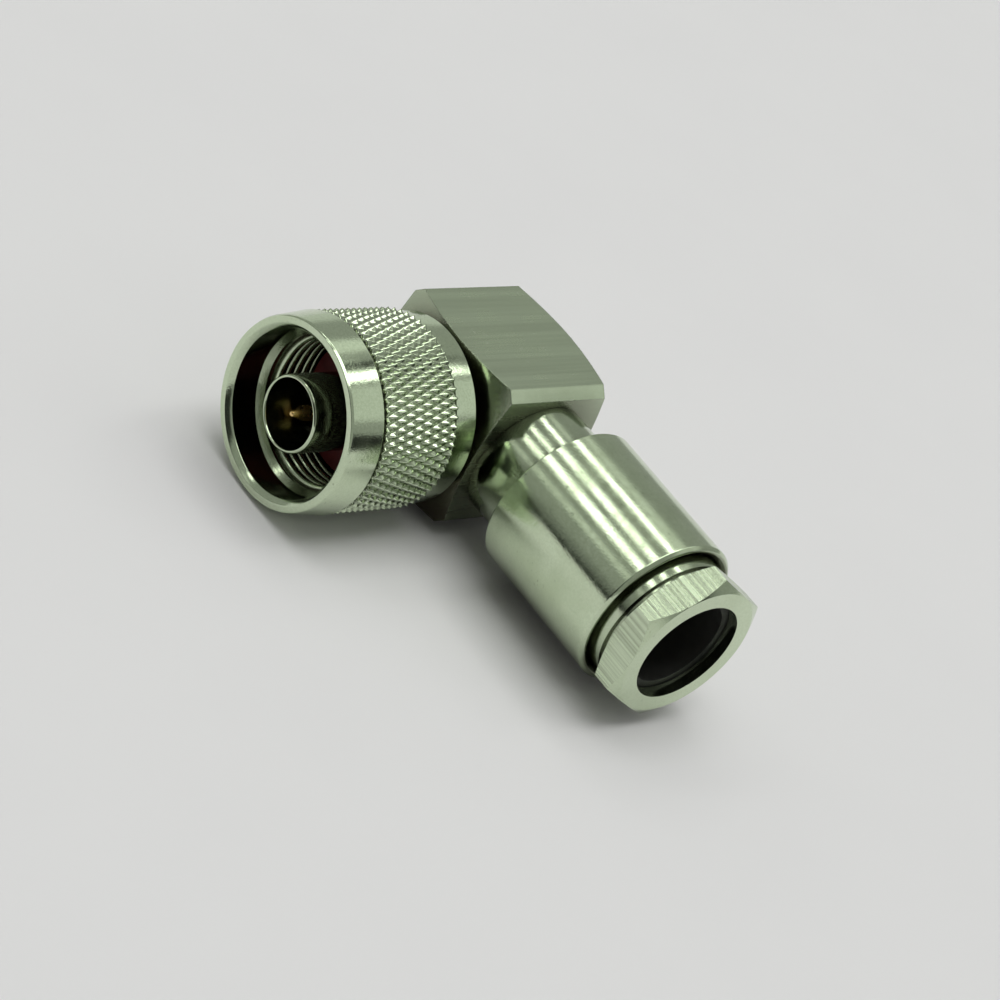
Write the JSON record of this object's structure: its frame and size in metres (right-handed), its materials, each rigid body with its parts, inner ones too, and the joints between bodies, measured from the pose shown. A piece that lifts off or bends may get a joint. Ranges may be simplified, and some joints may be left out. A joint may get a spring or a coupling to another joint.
{
  "type": "right-angle coaxial cable plug",
  "caption": "Right-angle coaxial plug with a knurled coupling nut, square elbow block, round cable barrel and hexagonal cable clamp nut.",
  "frame": {"origin": "centre of the outer contact's tip, on the mating reference plane", "axes": "-Y along the mating axis, out of the coupling nut's mouth; +X along the cable axis, out of the clamp nut, at Y = 26.4 mm; +Z square to both"},
  "size_m": [0.0483, 0.036, 0.0208],
  "materials": {
    "nickel": "bright nickel plate on turned brass",
    "gold": "gold plate",
    "brass": "turned brass",
    "ptfe": "waxy white PTFE",
    "silicone": "red silicone rubber",
    "rubber": "black rubber",
    "spring": "spring wire"
  },
  "bodies": {
    "body": {"outer_contact": "nickel", "elbow_block": "nickel", "access_cap": "nickel", "cable_barrel": "nickel", "retaining_ring": "spring", "mating_gasket": "silicone", "front_insulator": "ptfe", "centre_pin": "gold", "barrel_insulator": "ptfe", "cable_contact": "gold", "braid_clamp": "brass"},
    "coupling": {"coupling_nut": "nickel"},
    "clamp_stack": {"thrust_washer": "brass", "clamp_gasket": "rubber"},
    "clamp": {"clamp_nut": "nickel"}
  },
  "joints": [
    {"name": "coupling_turn", "type": "hinge", "parent": "body", "child": "coupling", "pos_m": [0, 0.008, 0], "axis": [0, -1, 0], "continuous": true},
    {"name": "clamp_travel", "type": "slide", "parent": "body", "child": "clamp_stack", "axis": [1, 0, 0], "range_m": [-0.00159, 0.00529]},
    {"name": "clamp_turn", "type": "hinge", "parent": "clamp_stack", "child": "clamp", "pos_m": [0.0362, 0.0264, 0], "axis": [1, 0, 0], "range_deg": [-540, 1800]}
  ],
  "couplings": [
    {"joint": "clamp_turn", "follows": "clamp_travel", "rad_per_m": 5936.9}
  ]
}
